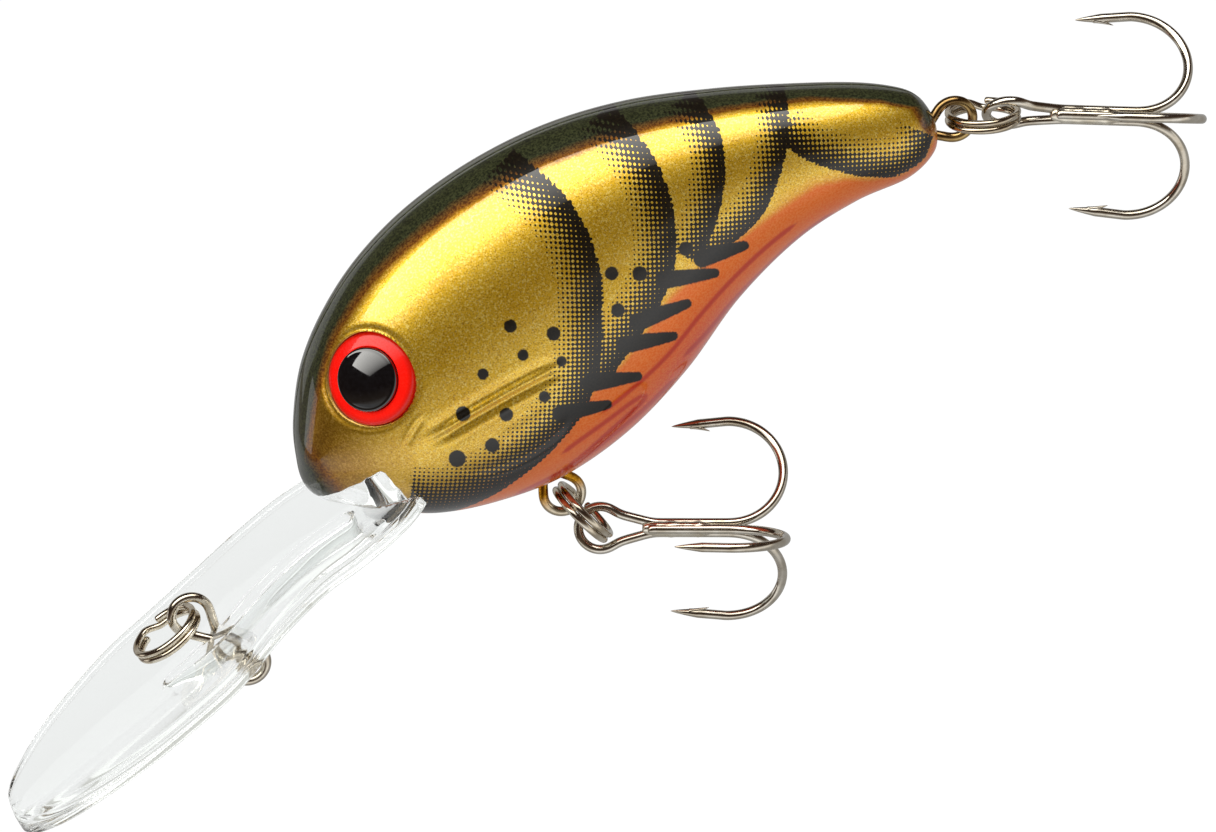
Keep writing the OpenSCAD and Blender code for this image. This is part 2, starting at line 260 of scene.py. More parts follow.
class Nodes:
    def __init__(self, name):
        self.mat = bpy.data.materials.new(name)
        self.mat.use_nodes = True
        self.t = self.mat.node_tree
        self.t.nodes.clear()
        self.out = self.new("ShaderNodeOutputMaterial")

    def new(self, kind, **props):
        n = self.t.nodes.new(kind)
        for k, v in props.items():
            setattr(n, k, v)
        return n

    def link(self, a, b):
        self.t.links.new(a, b)

    def principled(self, **values):
        n = self.new("ShaderNodeBsdfPrincipled")
        for k, v in values.items():
            key = k.replace("_", " ")
            sock = n.inputs[key]
            if hasattr(v, "links"):
                self.link(v, sock)
            else:
                sock.default_value = v
        return n

    def math(self, op, a, b=None, c=None, clamp=False):
        n = self.new("ShaderNodeMath", operation=op, use_clamp=clamp)
        for i, v in enumerate((a, b, c)):
            if v is None:
                continue
            if hasattr(v, "links"):
                self.link(v, n.inputs[i])
            else:
                n.inputs[i].default_value = v
        return n.outputs[0]

    def attr(self, name):
        return self.new("ShaderNodeAttribute", attribute_name=name).outputs["Fac"]

    def noise(self, vec, scale, detail=3.0, rough=0.5, out=0):
        n = self.new("ShaderNodeTexNoise")
        n.inputs["Scale"].default_value = scale
        n.inputs["Detail"].default_value = detail
        n.inputs["Roughness"].default_value = rough
        self.link(vec, n.inputs["Vector"])
        return n.outputs[out]

    def mix(self, fac, a, b, mode="MIX"):
        n = self.new("ShaderNodeMix", data_type="RGBA", blend_type=mode)
        for s, v in ((n.inputs[0], fac), (n.inputs[6], a), (n.inputs[7], b)):
            if hasattr(v, "links"):
                self.link(v, s)
            elif isinstance(v, (int, float)):
                s.default_value = v
            else:
                s.default_value = (*v, 1) if len(v) == 3 else v
        return n.outputs[2]

    def ramp(self, fac, stops, mode="LINEAR"):
        n = self.new("ShaderNodeValToRGB")
        n.color_ramp.interpolation = mode
        e = n.color_ramp.elements
        while len(e) > 1:
            e.remove(e[-1])
        e[0].position, e[0].color = stops[0][0], (*stops[0][1], 1)
        for pos, col in stops[1:]:
            x = e.new(pos)
            x.color = (*col, 1)
        self.link(fac, n.inputs[0])
        return n.outputs[0]

    def range(self, v, a, b, c=0.0, d=1.0):
        n = self.new("ShaderNodeMapRange")
        self.link(v, n.inputs[0])
        for i, x in enumerate((a, b, c, d)):
            n.inputs[i + 1].default_value = x
        return n.outputs[0]

    def bump(self, height, strength, distance, normal=None):
        n = self.new("ShaderNodeBump")
        n.inputs["Strength"].default_value = strength
        n.inputs["Distance"].default_value = distance
        self.link(height, n.inputs["Height"])
        if normal is not None:
            self.link(normal, n.inputs["Normal"])
        return n.outputs[0]

    def coords(self):
        return self.new("ShaderNodeTexCoord").outputs["Object"]

    def done(self, shader):
        self.link(shader, self.out.inputs["Surface"])
        return self.mat


def srgb(r, g, b):
    f = lambda c: (c / 255 / 12.92) if c / 255 <= 0.04045 else ((c / 255 + 0.055) / 1.055) ** 2.4
    return (f(r), f(g), f(b))


def paint_material():
    """Clear-coated paint: gold with fine flake, black back, orange belly, and ink printed over it as a dot screen."""
    n = Nodes("lure_paint")
    co = n.coords()
    xyz = n.new("ShaderNodeSeparateXYZ")
    n.link(co, xyz.inputs[0])
    back, belly, front, ink, solid, line, inside = (n.attr(k) for k in ("back", "belly", "front", "ink", "solid", "line", "inside"))
    # soft mottling of the sprayed coats
    cloud = n.noise(co, 180, 3, 0.55)
    grain = n.noise(co, 5200, 2, 0.6)
    flake = n.noise(co, 9000, 1, 0.5)
    jog = n.math("MULTIPLY", n.math("SUBTRACT", n.noise(co, 700, 3, 0.6), 0.5), 0.22)
    back_j = n.math("ADD", back, jog)
    gold = n.mix(n.range(cloud, 0.35, 0.68), srgb(224, 178, 40), srgb(236, 194, 58))
    gold = n.mix(n.math("MULTIPLY", n.range(grain, 0.50, 0.66), 0.66), gold, srgb(255, 236, 138))
    gold = n.mix(n.math("MULTIPLY", n.range(flake, 0.50, 0.68), 0.66), gold, srgb(150, 94, 6))
    # painted shade: the nose and the lower head are turned a darker bronze
    col = n.mix(n.math("MULTIPLY", front, 0.9), gold, n.mix(n.range(grain, 0.38, 0.66), srgb(112, 70, 8), srgb(168, 116, 26)))
    speck = n.range(grain, 0.40, 0.62)
    col = n.mix(n.range(back_j, 0.12, 0.50), col, n.mix(speck, srgb(96, 48, 4), srgb(150, 92, 14)))
    col = n.mix(n.range(back_j, 0.40, 0.90), col, n.mix(speck, srgb(24, 27, 14), srgb(58, 62, 38)))
    # orange belly, redder at its edge with a darker line
    orange = n.ramp(belly, [(0.0, srgb(216, 132, 40)), (0.25, srgb(228, 104, 6)), (0.55, srgb(244, 110, 10)), (0.8, srgb(246, 104, 24)), (1.0, srgb(238, 78, 34))])
    orange = n.mix(n.math("MULTIPLY", speck, 0.30), orange, srgb(255, 170, 90))
    orange = n.mix(n.math("MULTIPLY", line, 0.85), orange, srgb(205, 34, 8))
    belly_m = n.range(n.math("ADD", belly, n.math("MULTIPLY", jog, 0.35)), 0.03, 0.34)
    col = n.mix(belly_m, col, orange)
    # dot screen: rows 0.39 mm apart, 30 degrees off the body line
    x = n.math("MULTIPLY", xyz.outputs[0], 1000)
    z = n.math("MULTIPLY", xyz.outputs[2], 1000)
    u = n.math("SUBTRACT", n.math("MULTIPLY", x, 0.868), n.math("MULTIPLY", z, 0.497 * 0.9135))
    v = n.math("ADD", n.math("MULTIPLY", x, 0.497), n.math("MULTIPLY", z, 0.868 * 0.9135))
    f = 2 * math.pi / 0.39
    wave = n.math("ADD", n.math("COSINE", n.math("MULTIPLY", u, f)), n.math("COSINE", n.math("MULTIPLY", v, f)))
    wave = n.math("ADD", n.math("MULTIPLY", wave, 0.25), 0.5)
    rag = n.math("MULTIPLY", n.math("SUBTRACT", n.noise(co, 4200, 2, 0.6), 0.5), 0.24)
    lit = n.math("ADD", n.math("SUBTRACT", wave, n.math("SUBTRACT", 1.0, ink)), rag)
    dots = n.range(lit, -0.035, 0.035)
    dots = n.math("MULTIPLY", dots, n.range(ink, 0.015, 0.05))
    marks = n.range(n.math("ADD", solid, n.math("MULTIPLY", rag, 0.75)), -0.05, 0.05)
    inked = n.math("MAXIMUM", dots, marks)
    col = n.mix(inked, col, n.mix(speck, srgb(10, 7, 3), srgb(24, 18, 8)))
    plain = n.math("MAXIMUM", n.range(back_j, 0.25, 0.7), inked)
    metal = n.math("MULTIPLY", n.math("SUBTRACT", 1.0, plain), n.math("SUBTRACT", 0.88, n.math("MULTIPLY", belly_m, 0.48)))
    rough = n.math("ADD", n.math("MULTIPLY", grain, 0.14), 0.31)
    bump = n.bump(flake, 0.30, 0.00003)
    bump2 = n.bump(inked, 0.25, 0.00001, bump)
    coat_n = n.bump(n.noise(co, 110, 2, 0.4), 0.05, 0.00004)
    inner = srgb(176, 170, 150)
    col = n.mix(inside, col, inner)
    metal = n.math("MULTIPLY", metal, n.math("SUBTRACT", 1.0, inside))
    p = n.principled(Base_Color=col, Metallic=metal, Roughness=rough, Normal=bump2)
    p.inputs["Specular IOR Level"].default_value = 0.12
    p.inputs["Coat Weight"].default_value = 0.8
    p.inputs["Coat Roughness"].default_value = 0.03
    p.inputs["Coat IOR"].default_value = 1.5
    n.link(coat_n, p.inputs["Coat Normal"])
    return n.done(p.outputs[0])


def clear_material():
    n = Nodes("clear_polycarbonate")
    co = n.coords()
    flow = n.new("ShaderNodeMapping")
    flow.inputs["Scale"].default_value = (0.25, 1.0, 0.8)
    n.link(co, flow.inputs["Vector"])
    streak = n.noise(flow.outputs[0], 320, 2, 0.5)
    fine = n.noise(co, 2600, 2, 0.6)
    b = n.bump(streak, 0.10, 0.00012)
    b = n.bump(fine, 0.04, 0.00001, b)
    rough = n.range(fine, 0.3, 0.8, 0.015, 0.06)
    p = n.principled(Base_Color=(0.88, 0.90, 0.895, 1), Roughness=rough, Normal=b)
    p.inputs["Transmission Weight"].default_value = 1.0
    p.inputs["IOR"].default_value = 1.52
    return n.done(p.outputs[0])


def nickel_material(name, tone, warm, rough=0.13, gold_from=None):
    n = Nodes(name)
    co = n.coords()
    cloud = n.noise(co, 420, 3, 0.6)
    scuff = n.noise(co, 3800, 3, 0.65)
    col = n.mix(n.range(cloud, 0.35, 0.7), tone, warm)
    col = n.mix(n.math("MULTIPLY", n.range(scuff, 0.60, 0.80), 0.5), col, tuple(c * 0.45 for c in warm))
    r = n.math("ADD", n.math("MULTIPLY", n.range(scuff, 0.3, 0.8), 0.14), rough - 0.04)
    b = n.bump(scuff, 0.10, 0.00002)
    b = n.bump(cloud, 0.10, 0.00008, b)
    metal = 1.0
    if gold_from is not None:
        xyz = n.new("ShaderNodeSeparateXYZ")
        n.link(co, xyz.outputs[0].node.inputs[0])
        axis, lo, hi = gold_from
        edge = n.math("ADD", xyz.outputs[axis], n.math("MULTIPLY", n.math("SUBTRACT", cloud, 0.5), 0.0012))
        m = n.range(edge, lo, hi)
        col = n.mix(m, col, n.mix(n.range(scuff, 0.4, 0.7), srgb(196, 140, 34), srgb(150, 98, 16)))
        r = n.math("ADD", r, n.math("MULTIPLY", m, 0.12))
    p = n.principled(Base_Color=col, Metallic=metal, Roughness=r, Normal=b)
    return n.done(p.outputs[0])


def eye_red_material():
    n = Nodes("eye_red")
    co = n.coords()
    fine = n.noise(co, 5200, 2, 0.6)
    cloud = n.noise(co, 300, 2, 0.5)
    edge = n.attr("edge")
    col = n.mix(n.range(cloud, 0.35, 0.7), srgb(240, 12, 8), srgb(250, 30, 12))
    col = n.mix(n.math("MULTIPLY", n.range(fine, 0.55, 0.8), 0.25), col, srgb(255, 50, 24))
    col = n.mix(n.range(edge, 0.80, 1.0), col, srgb(120, 16, 6))
    p = n.principled(Base_Color=col, Roughness=n.range(fine, 0.3, 0.8, 0.22, 0.34), Metallic=0.0, Normal=n.bump(fine, 0.05, 0.00002))
    p.inputs["Specular IOR Level"].default_value = 0.15
    p.inputs["Coat Weight"].default_value = 0.35
    p.inputs["Coat Roughness"].default_value = 0.03
    # painted light: the red glows a little of itself, though the eye is no lamp
    p.inputs["Emission Color"].default_value = (*srgb(255, 16, 8), 1)
    p.inputs["Emission Strength"].default_value = 0.34
    return n.done(p.outputs[0])


def eye_black_material():
    n = Nodes("eye_black")
    co = n.coords()
    fine = n.noise(co, 3000, 2, 0.5)
    col = n.mix(n.range(fine, 0.4, 0.7), srgb(6, 6, 8), srgb(14, 14, 17))
    p = n.principled(Base_Color=col, Roughness=n.range(fine, 0.3, 0.8, 0.05, 0.10), Normal=n.bump(n.noise(co, 260, 2, 0.4), 0.06, 0.00005))
    p.inputs["Coat Weight"].default_value = 1.0
    p.inputs["Coat Roughness"].default_value = 0.02
    return n.done(p.outputs[0])


PAINT = paint_material()
CLEAR = clear_material()
NICKEL = nickel_material("nickel_hook", srgb(208, 202, 190), srgb(168, 156, 136), 0.13)
RING = nickel_material("nickel_ring", srgb(214, 206, 190), srgb(160, 142, 114), 0.12)
BRAZE = nickel_material("braze_metal", srgb(226, 220, 205), srgb(186, 172, 146), 0.22)
GOLD_BELLY = nickel_material("belly_wire", srgb(200, 190, 170), srgb(160, 140, 106), 0.14, (2, -0.0084, -0.0070))
TAIL_WIRE = nickel_material("tail_wire", srgb(180, 152, 100), srgb(96, 66, 34), 0.18)
TIE_WIRE = nickel_material("tie_wire", srgb(206, 198, 184), srgb(150, 138, 118), 0.12)
STEEL = nickel_material("ball_steel", srgb(190, 192, 196), srgb(150, 150, 154), 0.2)
RED, BLACK = eye_red_material(), eye_black_material()

# ------------------------------------------------------------------ the body's shape, as the CAD draws it

BODY = np.array([
    [0.0, -0.8, -0.8, 0.0], [0.6, 1.6, -2.6, 2.3], [2.0, 4.6, -4.0, 4.2], [5.0, 8.7, -6.5, 6.2],
    [9.0, 12.0, -9.2, 7.8], [14.0, 14.7, -11.0, 8.9], [20.0, 16.5, -12.0, 9.5], [27.0, 17.2, -11.3, 9.4],
    [34.0, 16.7, -9.0, 8.8], [41.0, 14.9, -5.6, 7.7], [48.0, 11.9, -3.6, 6.2], [54.0, 8.8, -3.3, 5.0],
    [59.0, 5.9, -3.9, 4.1], [62.0, 3.6, -3.1, 3.0], [63.2, 2.0, -1.5, 1.7], [63.5, 0.2, 0.2, 0.0]])
LIP = np.array([
    [8.6, -4.5, 5.0], [7.0, -4.7, 7.5], [4.5, -4.9, 9.4], [1.0, -5.2, 10.6], [-3.0, -5.6, 11.0], [-8.0, -6.9, 11.7],
    [-13.0, -8.7, 12.8], [-18.0, -9.9, 12.8], [-23.0, -10.9, 12.4], [-28.0, -11.9, 10.9], [-32.0, -12.7, 8.9],
    [-35.0, -13.3, 6.1], [-36.2, -13.5, 3.9], [-36.6, -13.6, 1.8]])


def along(s, u):
    first = np.r_[s[1][0], 2 * s[0][1:] - s[1][1:]]
    last = np.r_[s[-2][0], 2 * s[-1][1:] - s[-2][1:]]
    p = np.vstack([first, s, last])
    i = np.minimum(np.floor(u).astype(int), len(s) - 2)
    t = (u - i)[:, None]
    a, b, c, d = p[i], p[i + 1], p[i + 2], p[i + 3]
    return 0.5 * (2 * b + (c - a) * t + (2 * a - 5 * b + 4 * c - d) * t ** 2 + (3 * b - a - 3 * c + d) * t ** 3)


_u = np.linspace(0.04, len(BODY) - 1.04, 6000)
_s = along(BODY, _u)
_len = np.r_[0, np.cumsum(np.hypot(np.diff(_s[:, 0]), np.maximum(np.abs(np.diff(_s[:, 1])), np.abs(np.diff(_s[:, 3])))))]


def section_rows(n):
    t = np.linspace(0, _len[-1], n)
    return along(BODY, np.interp(t, _len, _u))


_ord = np.argsort(_s[:, 0])
_sx = _s[_ord]


def section_at(x):
    """Half-height, middle height and half-width of the body at each x (from the nose)."""
    top, bot, b = (np.interp(x, _sx[:, 0], _sx[:, k]) for k in (1, 2, 3))
    return np.maximum((top - bot) / 2, 0.05), (top + bot) / 2, np.maximum(b, 0.05)


# ------------------------------------------------------------------ the paint's layout, millimetres from the nose: x along the body, v up the side as it is seen

STRIPES = [
    ([(30.4, 15.2), (30.9, 13.5), (32.0, 10.1), (32.4, 6.4), (31.5, 2.0), (30.1, -0.7), (28.0, -4.1), (25.8, -6.4), (23.6, -7.9), (19.3, -9.3), (14.1, -9.9), (9.5, -9.2), (6.8, -7.4)], 4.1),
    ([(39.6, 14.5), (40.1, 12.1), (40.4, 8.3), (40.0, 4.9), (38.8, 1.7), (37.1, -0.8), (34.1, -3.1), (29.8, -5.2), (27.0, -6.5)], 3.8),
    ([(46.3, 12.0), (46.6, 9.7), (46.3, 6.9), (44.9, 3.9), (42.6, 1.2), (39.4, -1.4)], 3.2),
    ([(53.6, 9.3), (53.0, 7.2), (51.3, 4.1), (49.4, 2.0), (46.6, -0.2), (44.0, -1.1), (40.2, -1.7)], 2.8),
]
TAIL = ([(50.4, 4.9), (51.0, 3.3), (52.2, 1.3), (54.4, -1.0), (56.0, -2.2), (58.5, -3.4), (60.8, -3.2), (62.6, -1.8)], 3.4)
LEGS = [((40.6, -1.3), (43.5, -1.95)), ((36.9, -1.5), (40.1, -2.75)), ((33.3, -3.3), (36.7, -3.85)), ((31.2, -4.6), (34.3, -5.7)), ((26.9, -6.0), (29.9, -7.2)), ((23.4, -7.0), (26.4, -8.0))]
DOTS = [(22.5, 2.0, .58), (25.4, -0.4, .62), (22.2, -0.7, .5), (18.4, -0.4, .5), (24.8, -2.8, .46), (22.0, -4.7, .5), (15.2, -2.5, .66), (18.4, -4.4, .6), (16.0, -6.1, .62), (12.8, -5.6, .74), (32.3, 1.6, .6), (34.4, 0.4, .66), (31.2, -1.4, .6), (38.9, 0.3, .62)]
# where the orange belly starts, and the thin dark red lines along it
BELLY_EDGE = np.array([(0, -10.4), (4, -9.6), (7.7, -9.0), (12.7, -9.5), (17.6, -9.3), (21.6, -8.1), (25.9, -6.6), (29.9, -5.6), (32.9, -4.2), (35.8, -2.9), (39.9, -1.8), (43.9, -1.4), (48, -0.9), (51.5, -0.7), (54, -1.5), (56, -2.6), (58.5, -3.5), (61, -3.3), (63.5, -1.6)])
LINES = [
    [(19.6, -9.9), (22.2, -9.55), (25.6, -9.2), (28.6, -8.85), (29.6, -8.95), (28.9, -9.35), (25.2, -10.15), (21.4, -10.9), (19.2, -10.9)],
    [(14.2, -10.75), (18.6, -11.05), (22.4, -10.95), (26.2, -10.4), (29.4, -9.8), (33.9, -8.6)],
    [(33.0, -8.0), (37.0, -6.85), (40.4, -5.6), (44.4, -4.5), (48.4, -3.6), (53.0, -3.2)],
    [(24.0, -8.6), (28.5, -7.95), (33.0, -6.9), (37.4, -5.2), (41.4, -3.9), (45.6, -2.9), (50.0, -2.3)],
]
CREASES = [  # centre line; then (offset across it, height, half-width) for each ridge or groove
    ([(25.4, -3.5), (24.4, -3.1), (21.0, -2.85), (16.0, -2.8), (12.9, -2.85), (10.4, -2.7)], [(0.0, 0.20, 0.30), (0.60, -0.24, 0.34), (-0.62, -0.16, 0.40), (1.35, 0.10, 0.45)]),
    ([(23.6, -7.6), (21.4, -8.5), (18.0, -8.8), (14.5, -8.2), (12.0, -7.0)], [(0.0, 0.10, 0.30), (-0.55, -0.14, 0.35)]),
    ([(12.2, -0.8), (11.3, -1.05), (9.7, -1.95), (9.2, -2.7)], [(0.0, 0.08, 0.22), (0.42, -0.10, 0.26)]),
    ([(22.6, -5.9), (19.0, -6.1), (16.0, -5.6)], [(0.0, -0.08, 0.55)]),
]


def seen(x, y, z):
    """The side-on coordinates of points of the body, the same for its two sides."""
    return np.stack([x, z * CE - np.abs(y) * SE], 1)


def relief(p):
    d = np.zeros(len(p))
    for line, folds in CREASES:
        r, side, w = poly_distance(p, catmull(line, 10))
        fade = smoothstep(w, 0.0, 0.22) * (1 - smoothstep(w, 0.72, 1.0))
        for offset, height, width in folds:
            d -= height * fade * np.exp(-((r * side - offset) / width) ** 2)
    return d


def paint_fields(x, y, z):
    a, c, b = section_at(x)
    th = np.degrees(np.arctan2((z - c) / a, np.maximum(np.abs(y), 1e-6) / b))
    p = seen(x, y, z)
    limit_back = np.interp(x, [0, 4, 8, 14, 20, 26, 34, 41, 49, 55, 60, 63.5], [34, 48, 63, 66, 65, 64, 61, 59, 60, 60, 50, 30])
    back = smoothstep(th - limit_back, -9, 13)
    nose = 1 - smoothstep(x + 0.10 * (z + 2), 0.8, 4.2)
    back = np.maximum(back, nose)
    tail_dark = smoothstep(x, 61.2, 63.0) * smoothstep(th, -45, 10)
    back = np.maximum(back, 0.9 * tail_dark)
    # front: painted shade, full over the nose and fading by x 12.5 mm, and over the lower head back to x 14 to 24 mm
    front = 1 - smoothstep(x - 0.35 * np.maximum(-z - 1, 0) * 0.6, 2.5, 12.5)
    front = np.maximum(front * 0.95, 0.85 * smoothstep(-(th + 6), 0, 40) * (1 - smoothstep(x, 14, 24)))
    below = np.interp(x, BELLY_EDGE[:, 0], BELLY_EDGE[:, 1]) - p[:, 1]
    below += 3.0 * smoothstep(-th, 62, 90)
    belly = np.interp(below, [-1.6, -0.5, 0.1, 1.2, 4.2], [0, 0.12, 0.34, 0.55, 1.0]) * smoothstep(-th, -4, 10)
    ink = np.zeros(len(x))
    for line, width in STRIPES:
        c2 = catmull(line, 12)
        d, side, w = poly_distance(p, c2)
        s = np.where(side < 0, d, -1)
        w_ok = (w > 0.001) & (w < 0.999)
        fade = np.where((s >= 0) & (s < width) & w_ok, 1.14 - 1.02 * (s / width), 0)
        ink = np.maximum(ink, fade)
    d, side, w = poly_distance(p, catmull(TAIL[0], 12))
    s = np.where(side > 0, d, -1)
    ink = np.maximum(ink, np.where((s >= 0) & (s < TAIL[1]) & (w > 0.001) & (w < 0.999), 1.08 - 1.0 * (s / TAIL[1]), 0))
    ink *= 1 - smoothstep(-(th - (np.interp(x, [0, 14, 26, 40, 52, 63.5], [-84, -60, -40, -40, -34, -40]))), 0, 8)
    solid = np.full(len(x), -2.0)
    for cx, cv, r in DOTS:
        solid = np.maximum(solid, r - np.hypot(p[:, 0] - cx, p[:, 1] - cv))
    for q0, q1 in LEGS:
        q0, q1 = np.array(q0), np.array(q1)
        q0 = q0 - 0.3 * (q1 - q0)
        dd = q1 - q0
        t = np.clip(((p - q0) @ dd) / (dd @ dd), 0, 1)
        e = np.hypot(*(p - (q0 + t[:, None] * dd)).T)
        solid = np.maximum(solid, 0.76 - 0.36 * t ** 1.5 - e)
    line = np.full(len(x), 9.0)
    for pts in LINES:
        d, side, w = poly_distance(p, catmull(pts, 10))
        line = np.minimum(line, d + 0.5 * smoothstep(np.abs(w - 0.5), 0.40, 0.50))
    line = (1 - smoothstep(line, 0.08, 0.30)) * (th < -12)
    return dict(back=back, belly=belly, front=front, ink=np.clip(ink, 0, 1), solid=np.clip(solid, -2, 2), line=line)


def eye_frame(side):
    lean, yaw = math.radians(61), math.radians(244)
    m = Matrix.Rotation(yaw, 3, "Z") @ Matrix.Rotation(lean, 3, "Y")
    m = np.array(m)
    o = np.array([9.5, -6.62, 7.5]) + NOSE
    if side > 0:
        m = np.diag([1, -1, 1]) @ m
        o = o * np.array([1, -1, 1])
    return m, o


def lathe(profile, n, m, o):
    q = np.linspace(0, 2 * np.pi, n, endpoint=False)
    v = []
    for r, h in profile:
        v.append(np.stack([r * np.cos(q), r * np.sin(q), np.full(n, h)], 1))
    v = np.vstack(v) @ m.T + o
    k = len(profile)
    f = [(i * n + j, i * n + (j + 1) % n, (i + 1) * n + (j + 1) % n, (i + 1) * n + j) for i in range(k - 1) for j in range(n)]
    f += [tuple(range(n - 1, -1, -1)), tuple((k - 1) * n + j for j in range(n))]
    return v, f


def make_shell(side):
    name = "left" if side < 0 else "right"
    nu, nt, ni = 372, 224, 14
    rows = section_rows(nu)
    a, c, b = (rows[:, 1] - rows[:, 2]) / 2, (rows[:, 1] + rows[:, 2]) / 2, rows[:, 3]
    a, b = np.maximum(a, 0.02), np.maximum(b, 0.02)
    q = np.linspace(-90, 90, nt)
    th = np.radians(q)
    X = np.repeat(rows[:, :1], nt, 1)
    Y = -b[:, None] * np.cos(th)[None]
    Z = c[:, None] + a[:, None] * np.sin(th)[None]
    P = np.stack([X, Y, Z], 2)
    du, dt = np.gradient(P, axis=0), np.gradient(P, axis=1)
    N = np.cross(du, dt)
    N /= np.maximum(np.linalg.norm(N, axis=2), 1e-9)[..., None]
    if (N[nu // 2, nt // 2] @ np.array([0, -1, 0])) < 0:
        N = -N
    flat = P.reshape(-1, 3)
    dep = relief(seen(flat[:, 0], flat[:, 1], flat[:, 2])).reshape(nu, nt)
    # the eye's seat: a shallow ring pressed in round the disc
    e = np.array([9.5, -6.62, 7.5])
    r = np.linalg.norm(P - e, axis=2)
    dep += 0.16 * np.exp(-((r - 4.35) / 0.30) ** 2)
    # the two halves meet in a fine line
    dep += 0.07 * np.exp(-(np.abs(Y) / 0.10) ** 2)
    P = P - N * dep[..., None]
    P[:, 0, 1] = P[:, -1, 1] = 0
    # the inside
    w = 1.4
    sc = 1 - 2 * w / 63.5
    qi = np.radians(np.linspace(-90, 90, ni))
    XI = np.repeat((31.75 + (rows[:, :1] - 31.75) * sc), ni, 1)
    ai, bi = np.maximum(a - w, 0.01), np.maximum(b - w, 0.01)
    PI = np.stack([XI, -bi[:, None] * np.cos(qi)[None], c[:, None] + ai[:, None] * np.sin(qi)[None]], 2)
    PI[:, 0, 1] = PI[:, -1, 1] = 0
    verts = np.vstack([P.reshape(-1, 3), PI.reshape(-1, 3)])
    o = nu * nt
    faces = []
    for i in range(nu - 1):
        for k in range(nt - 1):
            faces.append((i * nt + k, i * nt + k + 1, (i + 1) * nt + k + 1, (i + 1) * nt + k))
        for k in range(ni - 1):
            faces.append((o + i * ni + k, o + (i + 1) * ni + k, o + (i + 1) * ni + k + 1, o + i * ni + k + 1))
        faces.append((i * nt, (i + 1) * nt, o + (i + 1) * ni, o + i * ni))
        faces.append((i * nt + nt - 1, o + i * ni + ni - 1, o + (i + 1) * ni + ni - 1, (i + 1) * nt + nt - 1))
    # close the two ends
    for i, flip in ((0, False), (nu - 1, True)):
        loop = [i * nt + k for k in range(nt)] + [o + i * ni + k for k in range(ni - 1, -1, -1)]
        faces.append(tuple(loop[::-1] if flip else loop))
    if side > 0:
        verts = verts * np.array([1, -1, 1])
    verts = verts + NOSE
    return verts, faces


def prism(outline, y0, y1):
    n = len(outline)
    v = [(x, y0, z) for x, z in outline] + [(x, y1, z) for x, z in outline]
    f = [tuple(range(n)), tuple(range(2 * n - 1, n - 1, -1))] + [(i, n + i, n + (i + 1) % n, (i + 1) % n) for i in range(n)]
    return np.array(v, float) + NOSE, f


def lip_form(nu, ns, grow=0.0, fine=True):
    u = np.linspace(0, len(LIP) - 1, nu)
    s = along(LIP, u)
    q = np.linspace(0, 2 * np.pi, ns, endpoint=False)
    cy, cz = np.cos(q), np.sin(q)
    rings = []
    for i in range(nu):
        x, zt, w = s[i]
        w = max(w, 0.3) + grow
        y = w * np.sign(cy) * np.abs(cy) ** 0.85
        t = (1.0 * (1 - 0.2 * (y / 13.5) ** 2) + grow) * min(1, (w / 3) ** 0.5)
        z = zt - 1.0 + 1.0 * (y / 13) ** 2 + t * np.sign(cz) * np.abs(cz) ** 0.4
        if fine:
            top = np.clip(cz, 0, 1)
            z = z + 0.10 * np.exp(-((np.abs(y) - 0.32) / 0.16) ** 2) * (top > 0.3)
            z = z - 0.22 * np.exp(-((np.abs(y) - (w - 1.6)) / 0.5) ** 2) * (top > 0.3) * min(1, w / 8)
        rings.append(np.stack([np.full(ns, x), y, z], 1))
    v = np.vstack(rings)
    f = [(i * ns + k, i * ns + (k + 1) % ns, (i + 1) * ns + (k + 1) % ns, (i + 1) * ns + k) for i in range(nu - 1) for k in range(ns)]
    f.append(tuple(range(ns - 1, -1, -1)))
    f.append(tuple((nu - 1) * ns + k for k in range(ns)))
    return v + NOSE, f


def body_solid(nu, nt, inset):
    rows = section_rows(nu)
    a = np.maximum((rows[:, 1] - rows[:, 2]) / 2 - inset, 0.01)
    c = (rows[:, 1] + rows[:, 2]) / 2
    b = np.maximum(rows[:, 3] - inset, 0.01)
    x = 31.75 + (rows[:, 0] - 31.75) * (1 - 2 * inset / 63.5)
    q = np.linspace(0, 2 * np.pi, nt, endpoint=False)
    v = np.stack([np.repeat(x[:, None], nt, 1), b[:, None] * np.cos(q), c[:, None] + a[:, None] * np.sin(q)], 2).reshape(-1, 3)
    f = [(i * nt + k, i * nt + (k + 1) % nt, (i + 1) * nt + (k + 1) % nt, (i + 1) * nt + k) for i in range(nu - 1) for k in range(nt)]
    f += [tuple(range(nt - 1, -1, -1)), tuple((nu - 1) * nt + k for k in range(nt))]
    return v + NOSE, f


# the paint ends raggedly where the clear chin starts
rng = np.random.default_rng(7)
def ragged(points, step, size):
    p = resample(points, step)
    n = rng.normal(size=(len(p), 2)) * size
    n[0] = n[-1] = 0
    n = soften(n, 1)
    return p + n

edge = np.vstack([ragged([(-3, -2.45), (6.5, -0.55)], 0.35, 0.10), ragged([(6.7, -0.5), (8.2, -11.0)], 0.35, 0.12)[1:]])
WEDGE = [(-3, -13)] + [tuple(p) for p in edge] + [(8.2, -13)]

